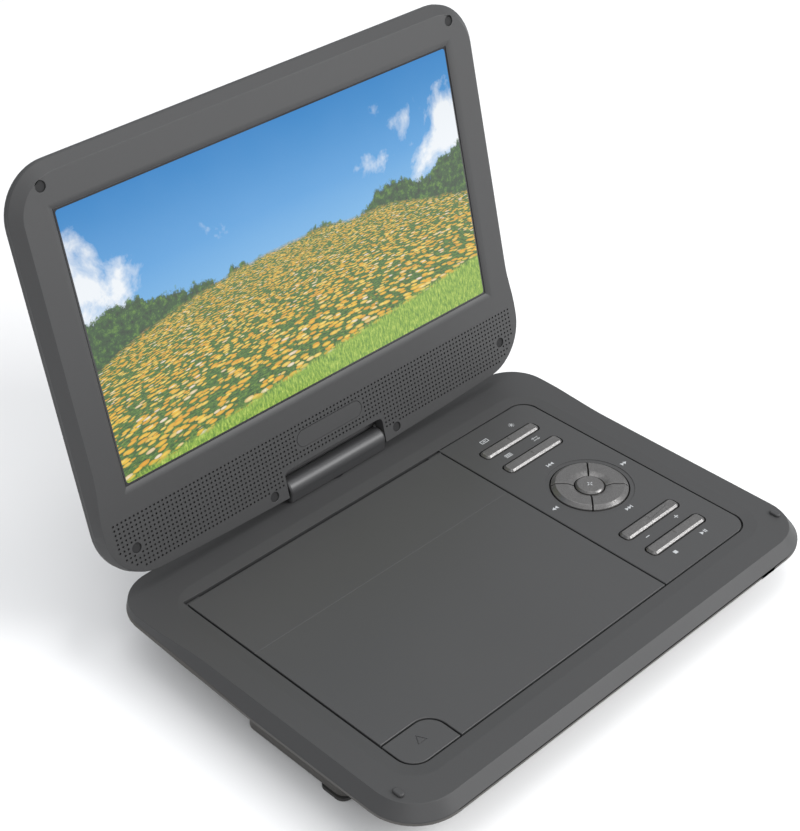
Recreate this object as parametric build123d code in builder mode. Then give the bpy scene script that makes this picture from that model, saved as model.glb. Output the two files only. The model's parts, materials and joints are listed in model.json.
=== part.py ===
"""Portable DVD player: a disc player base with a tilting and swivelling screen.

Millimetres, +Z up. The dimensions below are measured from the middle of the lid recess, with the
hinge towards +Y and Z = 0 at the surface that the feet stand on. The finished pieces are written
with their origin under the middle of the opened player. Screen pieces are drawn on the plane
SCREEN, whose origin is the tilt axis: its x runs across, its y from the top edge of the screen
(negative) past the hinge, and its z from the face towards the back.
"""

from build123d import *
from math import cos, radians, sin
import os

os.makedirs("parts", exist_ok=True)

# ---- driving dimensions: both shells ----
HALF_WIDTH = 130.7
BEVEL_RUN = 4.4  # rim bevel on the front edge and the front part of the sides
BEVEL_RUN_HINGE = 2.0  # the bevel fades towards the hinge
BEVEL_RUN_REAR = 1.0  # and it is narrowest along the hinge edge itself
SKIN = 2.0
GAP = 0.8  # seam between the lid, the panel and their recess

# ---- base ----
RIM_Z = 26.5
BASE_BEVEL_DEPTH = 5.9
INSET_Z = 26.0  # top of the lid and the control panel
FRONT_Y = -92.3
REAR_Y = 97.0
REAR_BOW = 1.7
SEAM_Z = 20.4
WALL_Z = 18.8  # lower edge of the rim wall
SEAM_RISE = 3.8  # the seam climbs by this much from the middle to the hinge
RECESS_X = 217.8
RECESS_Y = 139.8
RECESS_CORNER = 9.4
RECESS_FLOOR_Z = 23.6
PLATE_THICK = 2.0
LID_RIGHT_X = 47.36
PANEL_LEFT_X = LID_RIGHT_X + GAP
PANEL_X = 78.1  # middle of the controls
BELLY_Z = 2.0
BELLY_EDGE = 1.2  # chamfer round the underside
HOUSING_TOP_Z = 21.8  # where the lower housing meets the rim
HINGE_HOUSING_TOP_Z = 23.4
RAIL_EDGE_X = 123.4  # outer face of the side rails under the rim
RAIL_FRONT_Y = -46.5
RAIL_REAR_Y = 15.0

# ---- disc drive ----
DISC_X = -30.4
BAY_R = 63.5
TRAY_FLOOR_Z = 19.5
DISC_Z = 21.2
RAIL_Z = 12.6
RAIL_R = 1.5
RAIL_X = 15.0
SLED_Y = -26.0
SCREW_X = DISC_X + 24.0

# ---- hinge ----
HINGE_Y = 92.2
HINGE_Z = 32.3
OPEN_ANGLE = 103.6
BARREL_R = 5.0
BARREL_HALF = 30.3
SLEEVE_LENGTH = 13.2
BARREL_Z = RIM_Z + 0.35
PIN_R = 2.0
SHAFT_R = 3.0
BUSH_R = 5.0
HOUSING_Y = 98.2  # rear face of the hinge housing
FIT = 0.05  # radial running clearance

# ---- screen, on the plane SCREEN ----
FACE_Z = -4.2
COVER_Z = 1.6  # seam between the bezel and the rear cover
BACK_Z = 9.8
SCREEN_BEVEL_DEPTH = 4.4
TOP_Y = -187.1
HEEL_Y = 1.1
HEEL_BOW = 2.9
LCD_W = 222.72
LCD_H = 125.28
LCD_Y = -104.94
LCD_FRONT_Z = -2.6
NOTCH_HALF = 30.95
NOTCH_Y = -10.3
WELLS = [(114.7, -178.5), (114.7, -14.3), (39.05, -1.8)]
WELL_R = 2.4

BACK_INSET = 12.0  # how far the flat of the rear cover lies inside its outline
lean = radians(OPEN_ANGLE)
SCREEN = Plane(
    origin=(0, HINGE_Y, HINGE_Z),
    x_dir=(1, 0, 0),
    z_dir=(0, sin(lean), cos(lean)),
)
REARMOST_Y = SCREEN.from_local_coords(Vector(0, TOP_Y + BACK_INSET, BACK_Z)).Y
MIDDLE_Y = (FRONT_Y + REARMOST_Y) / 2


def shell_face(front_y, rear_y, bow, corners, fade, side, side_hinge, front, hinge):
    """Outline of a shell: straight front edge, bowed hinge edge, sides that ease between two insets."""
    x_front = HALF_WIDTH - side
    x_hinge = HALF_WIDTH - side_hinge
    y_front = front_y + front
    y_hinge = rear_y - hinge
    r_front = corners[0] - max(side, front)
    r_hinge = corners[1] - max(side_hinge, hinge)
    with BuildSketch() as face:
        with BuildLine():
            Line((x_front, y_front + r_front), (x_front, fade[0]))
            Spline([(x_front, fade[0]), (x_hinge, fade[1])], tangents=[(0, 1), (0, 1)])
            Line((x_hinge, fade[1]), (x_hinge, y_hinge - r_hinge))
            RadiusArc((x_hinge, y_hinge - r_hinge), (x_hinge - r_hinge, y_hinge), -r_hinge)
            RadiusArc((x_front - r_front, y_front), (x_front, y_front + r_front), -r_front)
            mirror(about=Plane.YZ)
            Line((r_front - x_front, y_front), (x_front - r_front, y_front))
            ThreePointArc(
                (r_hinge - x_hinge, y_hinge), (0, y_hinge + bow), (x_hinge - r_hinge, y_hinge)
            )
        make_face()
    return face.sketch


def base_face(front_inset, side_hinge_inset, hinge_inset):
    """Plan outline of the base."""
    return shell_face(FRONT_Y, REAR_Y, REAR_BOW, (24.3, 21.8), (30, 72), front_inset,
                      side_hinge_inset, front_inset, hinge_inset)


def screen_face(front_inset, side_hinge_inset, hinge_inset):
    """Outline of the screen, on the plane SCREEN."""
    return shell_face(TOP_Y, HEEL_Y, HEEL_BOW, (23.2, 26.8), (-54, -27), front_inset, side_hinge_inset,
                      front_inset, hinge_inset)


def recess_face(inset, hinge_inset):
    """Recess for the lid and panel: three round corners, and a square one beside the lid hinge."""
    width = RECESS_X - 2 * inset
    depth = RECESS_Y - inset - hinge_inset
    with BuildSketch() as face:
        with Locations((0, (inset - hinge_inset) / 2)):
            RectangleRounded(width, depth, RECESS_CORNER - inset)
        with Locations((-width / 2, RECESS_Y / 2 - hinge_inset)):
            Rectangle(RECESS_CORNER, RECESS_CORNER, align=(Align.MIN, Align.MAX))
    return face.sketch


def side_profile(low, low_hinge, high):
    """Side view (Y, Z) of everything above a line that climbs towards the hinge."""
    with BuildSketch() as face:
        with BuildLine():
            Polyline((-130, low), (0, low), (100, low_hinge), (130, low_hinge), (130, high),
                     (-130, high), close=True)
        make_face()
    return face.sketch


def save(name, part):
    """Set a finished piece on the player's own origin, label it and write it."""
    piece = part.moved(Location((0, -MIDDLE_Y, 0)))
    piece.label = name
    export_step(piece, f"parts/{name}.step")


# ======== base ========
with BuildPart() as rim_slab:
    with BuildSketch(Plane.XY.offset(RIM_Z)):
        add(base_face(BEVEL_RUN, BEVEL_RUN_HINGE, BEVEL_RUN_REAR))
    with BuildSketch(Plane.XY.offset(RIM_Z - BASE_BEVEL_DEPTH)):
        add(base_face(0, 0, 0))
    loft(ruled=True)
    with BuildSketch(Plane.XY.offset(RIM_Z - BASE_BEVEL_DEPTH)):
        add(base_face(0, 0, 0))
    extrude(amount=WALL_Z - RIM_Z + BASE_BEVEL_DEPTH)

BUTTON_X = -81.6  # right edge of the open button
BUTTON_Y = -51.7  # its rear edge
BUTTON_CORNER = 8.3


def open_button_face(grow):
    """Leaf shape in the front left corner of the recess: two square and two round corners."""
    left = -RECESS_X / 2 + GAP
    front = -RECESS_Y / 2 + GAP
    with BuildSketch() as face:
        with BuildLine():
            right = BUTTON_X + grow
            rear = BUTTON_Y + grow
            r_out = RECESS_CORNER - GAP
            r_in = BUTTON_CORNER + grow
            Line((left, front + r_out), (left, rear))
            Line((left, rear), (right - r_in, rear))
            RadiusArc((right - r_in, rear), (right, rear - r_in), r_in)
            Line((right, rear - r_in), (right, front))
            Line((right, front), (left + r_out, front))
            RadiusArc((left + r_out, front), (left, front + r_out), r_out)
        make_face()
    return face.sketch


BAND = 6.2  # shallow chamfer band around the recess
CONTROL_WINDOW = (47.4, 104.5, 63.0)  # left, right and half depth of the opening under the panel
with BuildPart() as base_top_cover:
    add(rim_slab.part)
    with BuildSketch(Plane.YZ):
        add(side_profile(SEAM_Z, SEAM_Z + SEAM_RISE, RIM_Z + 10))
    extrude(amount=HALF_WIDTH + 1, both=True, mode=Mode.INTERSECT)
    with BuildSketch(Plane.XY.offset(RIM_Z - SKIN)):
        add(base_face(4.2, 2.8, 2.8))
    extrude(amount=-10, mode=Mode.SUBTRACT)
    with BuildSketch(Plane.XY.offset(RIM_Z - SKIN)):
        RectangleRounded(RECESS_X + 2 * SKIN, RECESS_Y + 2 * SKIN, 2)
    extrude(amount=22.0 - RIM_Z + SKIN)
    with BuildSketch(Plane.XY.offset(RIM_Z)):
        RectangleRounded(RECESS_X + 2 * BAND, RECESS_Y + 2 * BAND, RECESS_CORNER + BAND)
    with BuildSketch(Plane.XY.offset(INSET_Z)):
        RectangleRounded(RECESS_X, RECESS_Y, RECESS_CORNER)
    loft(ruled=True, mode=Mode.SUBTRACT)
    with BuildSketch(Plane.XY.offset(RECESS_FLOOR_Z)):
        add(recess_face(0, 0))
    extrude(amount=10, mode=Mode.SUBTRACT)
    with BuildSketch(Plane.XY.offset(INSET_Z)):
        with Locations((DISC_X, 0)):
            Circle(BAY_R)
        with Locations((CONTROL_WINDOW[0], 0)):
            Rectangle(CONTROL_WINDOW[1] - CONTROL_WINDOW[0], 2 * CONTROL_WINDOW[2],
                      align=(Align.MIN, Align.CENTER))
        with Locations((-93.8, -59.6)):
            Rectangle(18, 10)
        with Locations((-74, -64.5)):
            Rectangle(8, 5)
        with Locations((-104.6, 66.6), (44.4, 66.6)):
            Rectangle(8.4, 6.4)
        with Locations((49.6, 66.6)):
            Rectangle(4, 6.4)
        with Locations((49.6, 0)):
            Rectangle(4.6, 138.4)
    extrude(amount=-10, mode=Mode.SUBTRACT)
    with BuildSketch(Plane.XY.offset(RIM_Z)):
        with Locations((0, HINGE_Y)):
            Circle(BUSH_R)
    extrude(amount=-8, mode=Mode.SUBTRACT)
    # bore for the left lid pin, in the side wall of the recess
    with BuildSketch(Plane.YZ.offset(-RECESS_X / 2 - 1.8)):
        with Locations((68.2, 24.5)):
            Circle(1.2 + FIT)
    extrude(amount=3, mode=Mode.SUBTRACT)
save("base_top_cover", base_top_cover.part)

PORT_X = 113.0  # outer face of the port recess on the right side
RAIL_WIDTH = 22.0
RAIL_LENGTH = RAIL_REAR_Y - RAIL_FRONT_Y
RAIL_X_MIDDLE = RAIL_EDGE_X - RAIL_WIDTH / 2
RAIL_Y_MIDDLE = (RAIL_REAR_Y + RAIL_FRONT_Y) / 2
with BuildPart() as base_bottom_cover:
    add(rim_slab.part)
    with BuildSketch(Plane.YZ):
        add(side_profile(SEAM_Z, SEAM_Z + SEAM_RISE, RIM_Z + 10))
    extrude(amount=HALF_WIDTH + 1, both=True, mode=Mode.SUBTRACT)
    with BuildSketch(Plane.YZ):
        add(side_profile(WALL_Z, WALL_Z + SEAM_RISE, RIM_Z + 10))
    extrude(amount=HALF_WIDTH + 1, both=True, mode=Mode.INTERSECT)
    # lower housing
    with BuildSketch(Plane.XY.offset(HOUSING_TOP_Z)):
        with Locations((0, -2.5)):
            RectangleRounded(235, 150, 40)
    with BuildSketch(Plane.XY.offset(BELLY_Z + BELLY_EDGE)):
        with Locations((0, -6.5)):
            RectangleRounded(231, 133, 36)
    loft(ruled=True)
    with BuildSketch(Plane.XY.offset(BELLY_Z + BELLY_EDGE)):
        with Locations((0, -6.5)):
            RectangleRounded(231, 133, 36)
    with BuildSketch(Plane.XY.offset(BELLY_Z)):
        with Locations((0, -6.5)):
            RectangleRounded(231 - 2 * BELLY_EDGE, 133 - 2 * BELLY_EDGE, 36 - BELLY_EDGE)
    loft(ruled=True)
    # side rails over the front feet
    with BuildSketch(Plane.XY.offset(BELLY_Z + BELLY_EDGE)):
        with Locations((-RAIL_X_MIDDLE, RAIL_Y_MIDDLE), (RAIL_X_MIDDLE, RAIL_Y_MIDDLE)):
            RectangleRounded(RAIL_WIDTH, RAIL_LENGTH, 6)
    extrude(amount=WALL_Z - BELLY_Z - BELLY_EDGE + 0.7)
    for side in (-1, 1):
        with BuildSketch(Plane.XY.offset(BELLY_Z + BELLY_EDGE)):
            with Locations((side * RAIL_X_MIDDLE, RAIL_Y_MIDDLE)):
                RectangleRounded(RAIL_WIDTH, RAIL_LENGTH, 6)
        with BuildSketch(Plane.XY.offset(BELLY_Z)):
            with Locations((side * RAIL_X_MIDDLE, RAIL_Y_MIDDLE)):
                RectangleRounded(RAIL_WIDTH - 2 * BELLY_EDGE, RAIL_LENGTH - 2 * BELLY_EDGE,
                                 6 - BELLY_EDGE)
        loft(ruled=True)
    # hinge housing at the rear
    with BuildSketch(Plane.XY.offset(BELLY_Z)):
        with Locations((0, HOUSING_Y)):
            Rectangle(76, 42, align=(Align.CENTER, Align.MAX))
    extrude(amount=HINGE_HOUSING_TOP_Z - BELLY_Z)
    # hollow
    with BuildSketch(Plane.XY.offset(26.4)):
        with Locations((0, -2.5)):
            RectangleRounded(231, 146, 38)
    with BuildSketch(Plane.XY.offset(BELLY_Z + SKIN)):
        with Locations((0, -6.5)):
            RectangleRounded(227, 129, 34)
    loft(ruled=True, mode=Mode.SUBTRACT)
    with BuildSketch(Plane.XY.offset(BELLY_Z + SKIN)):
        with Locations((0, HOUSING_Y - 1.2)):
            Rectangle(72, 39, align=(Align.CENTER, Align.MAX))
    extrude(amount=13.5, mode=Mode.SUBTRACT)
    with BuildSketch(Plane.XY.offset(BELLY_Z + SKIN)):
        with Locations((SKIN - RAIL_EDGE_X, RAIL_Y_MIDDLE)):
            Rectangle(10, RAIL_LENGTH - 2 * SKIN, align=(Align.MIN, Align.CENTER))
    extrude(amount=WALL_Z - BELLY_Z - SKIN, mode=Mode.SUBTRACT)
    # room for the tub of the top cover
    with BuildSketch(Plane.XY.offset(21.9)):
        RectangleRounded(RECESS_X + 2 * SKIN + 0.4, RECESS_Y + 2 * SKIN + 0.4, 2)
    extrude(amount=5, mode=Mode.SUBTRACT)
    # vertical wall behind the ports
    with BuildSketch(Plane.XY.offset(BELLY_Z + SKIN)):
        with Locations((PORT_X - 2, -6)):
            Rectangle(4.6, 70, align=(Align.MIN, Align.CENTER))
    extrude(amount=16.6)
    with BuildSketch(Plane.XY.offset(5.0)):
        with Locations((PORT_X, -6)):
            Rectangle(14, 64, align=(Align.MIN, Align.CENTER))
    extrude(amount=WALL_Z - 5.0, mode=Mode.SUBTRACT)
    with BuildSketch(Plane.YZ.offset(PORT_X - 3)):
        with Locations((-31, 12.0)):
            Circle(3.3)
        with Locations((-21.5, 12.0)):
            Circle(3.3)
        with Locations((20.5, 12.5)):
            Circle(3.8)
        with Locations((-7.5, 12.4)):
            Rectangle(14.7, 6.7)
        with Locations((6.0, 7.2)):
            Rectangle(26.6, 3.6)
        with Locations((8.0, 14.0)):
            Rectangle(9.0, 3.4)
    extrude(amount=5, mode=Mode.SUBTRACT)
    # opening for the battery cover and the swivel bush
    with BuildSketch(Plane.XY):
        with Locations((-84, -1)):
            RectangleRounded(38, 90, 3)
    extrude(amount=10, mode=Mode.SUBTRACT)
    with BuildSketch(Plane.XY.offset(14)):
        with Locations((0, HINGE_Y)):
            Circle(BUSH_R)
    extrude(amount=12, mode=Mode.SUBTRACT)
    with BuildSketch(Plane.XZ.offset(-FRONT_Y)):
        with Locations((92, WALL_Z + 0.85)):
            RectangleRounded(9.2, 1.3, 0.5)
    extrude(amount=-0.6, mode=Mode.SUBTRACT)
save("base_bottom_cover", base_bottom_cover.part)

# ---- control panel ----
BAR_Y = (50.6, 35.5, -35.5, -50.6)
BAR_LENGTH = 37.0
BAR_WIDTH = 6.4
BAR_CORNER = 2.2
WELL_GAP = 0.7
PAD_R = 18.2
OK_R = 6.8
with BuildPart() as control_panel:
    with BuildSketch(Plane.XY.offset(INSET_Z)):
        add(recess_face(GAP, GAP))
        with Locations((PANEL_LEFT_X, 0)):
            Rectangle(200, 200, align=(Align.MIN, Align.CENTER), mode=Mode.INTERSECT)
    extrude(amount=-PLATE_THICK)
    chamfer(control_panel.faces().sort_by(Axis.Z)[-1].outer_wire().edges(), 0.25)
    with BuildSketch(Plane.XY.offset(INSET_Z - PLATE_THICK)):
        with Locations((PANEL_LEFT_X, 0)):
            Rectangle(2.5, RECESS_Y - 2 * GAP - 2, align=(Align.MIN, Align.CENTER))
    extrude(amount=-2.0)
    with BuildSketch(Plane.XY.offset(INSET_Z)):
        with Locations(*[(PANEL_X, y) for y in BAR_Y]):
            RectangleRounded(BAR_LENGTH + 2 * WELL_GAP, BAR_WIDTH + 2 * WELL_GAP,
                             BAR_CORNER + WELL_GAP)
        with Locations((PANEL_X, 0)):
            Circle(PAD_R + WELL_GAP)
    extrude(amount=-PLATE_THICK, mode=Mode.SUBTRACT)
    # shallow dish around the ring pad
    with BuildSketch(Plane.XY.offset(INSET_Z)):
        with Locations((PANEL_X, 0)):
            Circle(21.0)
    extrude(amount=-0.3, mode=Mode.SUBTRACT)
    with BuildSketch(Plane.YZ.offset(PANEL_LEFT_X - 0.1)):
        with Locations((68.2, 24.5)):
            Circle(1.2 + FIT)
    extrude(amount=2.2, mode=Mode.SUBTRACT)
save("control_panel", control_panel.part)

# ---- disc lid and its pins ----
LID_REAR_INSET = 2.0  # wide seam along the lid hinge
LID_AXIS_Y = 68.2
LID_AXIS_Z = 24.5
CREASE_Y = 23.8
with BuildPart() as disc_lid:
    with BuildSketch(Plane.XY.offset(INSET_Z)):
        add(recess_face(GAP, LID_REAR_INSET))
        with Locations((LID_RIGHT_X, 0)):
            Rectangle(200, 200, align=(Align.MAX, Align.CENTER), mode=Mode.INTERSECT)
        add(open_button_face(GAP), mode=Mode.SUBTRACT)
        with Locations((-104, -66)):
            Rectangle(10, 8, mode=Mode.SUBTRACT)
    extrude(amount=-PLATE_THICK)
    chamfer(disc_lid.faces().sort_by(Axis.Z)[-1].outer_wire().edges(), 0.25)
    # knuckles round the hinge axis
    with BuildSketch(Plane.YZ.offset(-RECESS_X / 2 + GAP)):
        with Locations((LID_AXIS_Y - 0.3, LID_AXIS_Z - 0.2)):
            Circle(1.5)
        with Locations((LID_AXIS_Y - 0.3, INSET_Z - PLATE_THICK)):
            Rectangle(4, 1.0, align=(Align.MAX, Align.CENTER))
    extrude(amount=7)
    with BuildSketch(Plane.YZ.offset(LID_RIGHT_X)):
        with Locations((LID_AXIS_Y - 0.3, LID_AXIS_Z - 0.2)):
            Circle(1.5)
        with Locations((LID_AXIS_Y - 0.3, INSET_Z - PLATE_THICK)):
            Rectangle(4, 1.0, align=(Align.MAX, Align.CENTER))
    extrude(amount=-7)
    # latch hook beside the open button
    with BuildSketch(Plane.XY.offset(INSET_Z - PLATE_THICK)):
        with Locations((-74, -64.2)):
            Rectangle(6, 1.6)
    extrude(amount=-3.6)
    with BuildSketch(Plane.XY.offset(INSET_Z - PLATE_THICK - 3.6)):
        with Locations((-74, -64.6)):
            Rectangle(6, 2.4)
    extrude(amount=0.8)
    # crease across the lid
    with BuildSketch(Plane.YZ.offset(LID_RIGHT_X)):
        with BuildLine():
            Polyline((CREASE_Y - 0.5, INSET_Z), (CREASE_Y + 0.5, INSET_Z), (CREASE_Y, INSET_Z - 0.2),
                     close=True)
        make_face()
    extrude(amount=-RECESS_X, mode=Mode.SUBTRACT)
    # bores for the pins
    with BuildSketch(Plane.YZ.offset(-RECESS_X / 2 + GAP)):
        with Locations((LID_AXIS_Y, LID_AXIS_Z)):
            Circle(1.2)
    extrude(amount=5, mode=Mode.SUBTRACT)
    with BuildSketch(Plane.YZ.offset(LID_RIGHT_X)):
        with Locations((LID_AXIS_Y, LID_AXIS_Z)):
            Circle(1.2)
    extrude(amount=-5, mode=Mode.SUBTRACT)
save("disc_lid", disc_lid.part)

with BuildPart() as lid_pins:
    with BuildSketch(Plane.YZ.offset(-RECESS_X / 2 + GAP + 5)):
        with Locations((LID_AXIS_Y, LID_AXIS_Z)):
            Circle(1.2)
    extrude(amount=-7.2)
    with BuildSketch(Plane.YZ.offset(LID_RIGHT_X - 5)):
        with Locations((LID_AXIS_Y, LID_AXIS_Z)):
            Circle(1.2)
    extrude(amount=7.4)
save("lid_pins", lid_pins.part)

# ---- open button ----
with BuildPart() as open_button:
    with BuildSketch(Plane.XY.offset(INSET_Z)):
        add(open_button_face(0))
    extrude(amount=-1.1)
    chamfer(open_button.faces().sort_by(Axis.Z)[-1].outer_wire().edges(), 0.25)
    with BuildSketch(Plane.XY.offset(INSET_Z - 1.1)):
        with Locations((-93.8, -59.6)):
            Rectangle(16, 8)
    extrude(amount=-4.0)
    # engraved triangle outline
    with BuildSketch(Plane.XY.offset(INSET_Z)):
        with Locations((-94.6, -59.6)):
            Triangle(c=5.4, a=5.2, b=5.2)
            Triangle(c=4.0, a=3.85, b=3.85, mode=Mode.SUBTRACT)
    extrude(amount=-0.3, mode=Mode.SUBTRACT)
save("open_button", open_button.part)

# ---- rocker bars ----
BAR_TOP_Z = 27.0
ROCKER_AXIS_Z = 21.6
FULCRUM_R = 1.5  # round foot of the stem, which the bar rocks on
BAR_NAMES = ("rocker_mode", "rocker_menu", "rocker_volume", "rocker_play")
for bar_name, bar_y in zip(BAR_NAMES, BAR_Y):
    with BuildPart() as bar:
        with BuildSketch(Plane.XY.offset(23.6)):
            with Locations((PANEL_X, bar_y)):
                RectangleRounded(BAR_LENGTH, BAR_WIDTH, BAR_CORNER)
        extrude(amount=BAR_TOP_Z - 23.6)
        chamfer(bar.faces().sort_by(Axis.Z)[-1].edges(), 0.95)
        # index mark across the middle
        with BuildSketch(Plane.XY.offset(BAR_TOP_Z)):
            with Locations((PANEL_X, bar_y + 0.4)):
                Rectangle(0.5, 2.2)
        extrude(amount=0.15)
        # stem between the two switches
        with BuildSketch(Plane.XY.offset(23.6)):
            with Locations((PANEL_X, bar_y)):
                Rectangle(4, 4)
        extrude(amount=ROCKER_AXIS_Z - 23.6)
        with BuildSketch(Plane.XZ.offset(-bar_y - 2)):
            with Locations((PANEL_X, ROCKER_AXIS_Z)):
                Circle(FULCRUM_R)
        extrude(amount=4)
        # feet over the switches
        with BuildSketch(Plane.XY.offset(23.6)):
            with Locations((PANEL_X - 14, bar_y), (PANEL_X + 14, bar_y)):
                Circle(1.5)
        extrude(amount=-2.0)
    save(bar_name, bar.part)

# ---- ring pad in four segments, and its centre button ----
PAD_TOP_Z = 27.5
PAD_GROOVE = 0.7
with BuildPart() as pad_ring:
    with BuildSketch(Plane.XZ):
        with BuildLine():
            Polyline((OK_R + 0.6, 23.6), (PAD_R, 23.6), (PAD_R, 26.1), (PAD_R - 2.0, PAD_TOP_Z),
                     (10.6, PAD_TOP_Z), (OK_R + 0.6, 26.2), close=True)
        make_face()
    revolve(axis=Axis.Z)
PAD_NAMES = ("pad_right", "pad_up", "pad_left", "pad_down")
for pad_index, pad_name in enumerate(PAD_NAMES):
    with BuildPart() as pad:
        add(pad_ring.part)
        with BuildSketch(Plane.XY.offset(20)):
            with BuildLine():
                Polyline((PAD_GROOVE * 0.71, 0), (40, 40 - PAD_GROOVE * 0.71),
                         (40, PAD_GROOVE * 0.71 - 40), close=True)
            make_face()
        extrude(amount=10, mode=Mode.INTERSECT)
        with BuildSketch(Plane.XY.offset(23.6)):
            with Locations((13, 0)):
                Circle(1.5)
        extrude(amount=-1.6)
    save(pad_name, pad.part.rotate(Axis.Z, 90 * pad_index).moved(Location((PANEL_X, 0, 0))))

with BuildPart() as ok_button:
    with BuildSketch(Plane.XY.offset(22.0)):
        with Locations((PANEL_X, 0)):
            Circle(1.5)
    extrude(amount=1.6)
    with BuildSketch(Plane.XY.offset(23.6)):
        with Locations((PANEL_X, 0)):
            Circle(OK_R)
    extrude(amount=3.7)
    chamfer(ok_button.faces().sort_by(Axis.Z)[-1].edges(), 0.9)
save("ok_button", ok_button.part)

# ---- key board with its switches ----
KEY_BOARD_Z = 18.8
with BuildPart() as key_board:
    with BuildSketch(Plane.XY.offset(KEY_BOARD_Z)):
        with Locations((PANEL_X, 0)):
            RectangleRounded(45, 120, 6)
    extrude(amount=1.2)
save("key_board", key_board.part)

with BuildPart() as key_switches:
    with BuildSketch(Plane.XY.offset(KEY_BOARD_Z + 1.2)):
        for key_y in BAR_Y:
            with Locations((PANEL_X - 14, key_y), (PANEL_X + 14, key_y)):
                Rectangle(4.5, 4.5)
        with Locations((PANEL_X, 0)):
            Rectangle(4.5, 4.5)
            with PolarLocations(13, 4):
                Rectangle(4.5, 4.5)
    extrude(amount=1.0)
save("key_switches", key_switches.part)

# ---- disc tray ----
with BuildPart() as disc_tray:
    with BuildSketch(Plane.XY.offset(TRAY_FLOOR_Z - 1.0)):
        with Locations((DISC_X, 0)):
            Circle(BAY_R + 1.5)
    extrude(amount=22.0 - TRAY_FLOOR_Z + 1.0)
    with BuildSketch(Plane.XY.offset(TRAY_FLOOR_Z)):
        with Locations((DISC_X, 0)):
            Circle(BAY_R)
    extrude(amount=5, mode=Mode.SUBTRACT)
    with BuildSketch(Plane.XY.offset(10)):
        with Locations((DISC_X, 0)):
            Circle(17)
        with Locations((DISC_X, -38.5)):
            RectangleRounded(24, 48, 4)
    extrude(amount=12, mode=Mode.SUBTRACT)
save("disc_tray", disc_tray.part)

# ---- drive chassis, motor, turntable ----
CHASSIS_Z = 15.6
DAMPERS = [(DISC_X - 31.6, -62), (DISC_X + 31.6, -62), (DISC_X - 31.6, 18), (DISC_X + 31.6, 18)]
with BuildPart() as drive_chassis:
    with BuildSketch(Plane.XY.offset(CHASSIS_Z)):
        with Locations((DISC_X, -22)):
            RectangleRounded(70, 92, 4)
        with Locations((DISC_X, -41)):
            Rectangle(24, 48, mode=Mode.SUBTRACT)
        with Locations((DISC_X, 0)):
            Circle(4, mode=Mode.SUBTRACT)
        with Locations(*DAMPERS):
            Circle(2.2, mode=Mode.SUBTRACT)
    extrude(amount=1.2)
save("drive_chassis", drive_chassis.part)

with BuildPart() as drive_dampers:
    with BuildSketch(Plane.XY.offset(BELLY_Z + SKIN)):
        with Locations(*DAMPERS):
            Circle(4.0)
    extrude(amount=CHASSIS_Z - BELLY_Z - SKIN)
    with BuildSketch(Plane.XY.offset(CHASSIS_Z)):
        with Locations(*DAMPERS):
            Circle(2.2)
    extrude(amount=1.8)
save("drive_dampers", drive_dampers.part)

MOTOR_SHAFT_R = 1.25
with BuildPart() as spindle_motor:
    with BuildSketch(Plane.XY.offset(8.0)):
        with Locations((DISC_X, 0)):
            Circle(12.5)
    extrude(amount=CHASSIS_Z - 8.0)
    with BuildSketch(Plane.XY.offset(CHASSIS_Z)):
        with Locations((DISC_X, 0)):
            Circle(MOTOR_SHAFT_R)
    extrude(amount=6.0)
save("spindle_motor", spindle_motor.part)

HUB_R = 7.35
HUB_BALL_R = 1.2
with BuildPart() as turntable:
    with BuildSketch(Plane.XZ):
        with BuildLine():
            Polyline((MOTOR_SHAFT_R + FIT, 17.6), (15, 17.6), (15, DISC_Z), (HUB_R, DISC_Z),
                     (HUB_R, 22.7), (HUB_R - 1.2, 23.4), (0, 23.4), (0, 22.0),
                     (MOTOR_SHAFT_R + FIT, 22.0), close=True)
        make_face()
    revolve(axis=Axis.Z)
    with Locations((0, 0, 22.2)):
        with PolarLocations(HUB_R - 1.0, 3):
            Sphere(HUB_BALL_R, mode=Mode.SUBTRACT)
save("turntable", turntable.part.moved(Location((DISC_X, 0, 0))))

with BuildPart() as hub_balls:
    with Locations((DISC_X, 0, 22.2)):
        with PolarLocations(HUB_R - 1.0, 3):
            Sphere(HUB_BALL_R - 0.02)
save("hub_balls", hub_balls.part)

# ---- pickup sled on its rails ----
RAIL_ENDS = (-69.0, -12.6)
with BuildPart() as guide_rails:
    with BuildSketch(Plane.XZ.offset(-RAIL_ENDS[1])):
        with Locations((DISC_X - RAIL_X, RAIL_Z), (DISC_X + RAIL_X, RAIL_Z)):
            Circle(RAIL_R)
    extrude(amount=RAIL_ENDS[1] - RAIL_ENDS[0])
save("guide_rails", guide_rails.part)

with BuildPart() as pickup_sled:
    with BuildSketch(Plane.XY.offset(10.2)):
        with Locations((DISC_X + 3.5, SLED_Y)):
            Rectangle(47, 18)
    extrude(amount=4.8)
    with BuildSketch(Plane.XY.offset(15.0)):
        with Locations((DISC_X, SLED_Y)):
            RectangleRounded(18, 13, 2)
    extrude(amount=3.2)
    with BuildSketch(Plane.XZ.offset(-SLED_Y - 10)):
        with Locations((DISC_X - RAIL_X, RAIL_Z), (DISC_X + RAIL_X, RAIL_Z)):
            Circle(RAIL_R + FIT)
        with Locations((SCREW_X, RAIL_Z)):
            Circle(1.5 + FIT)
    extrude(amount=20, mode=Mode.SUBTRACT)
save("pickup_sled", pickup_sled.part)

with BuildPart() as pickup_lens:
    with BuildSketch(Plane.XY.offset(18.2)):
        with Locations((DISC_X, SLED_Y)):
            Circle(3.0)
    extrude(amount=1.0)
    fillet(pickup_lens.faces().sort_by(Axis.Z)[-1].edges(), 0.8)
save("pickup_lens", pickup_lens.part)

with BuildPart() as lead_screw:
    with BuildSketch(Plane.XZ.offset(3.0)):
        with Locations((SCREW_X, RAIL_Z)):
            Circle(1.5)
    extrude(amount=65.5)
save("lead_screw", lead_screw.part)

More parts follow.
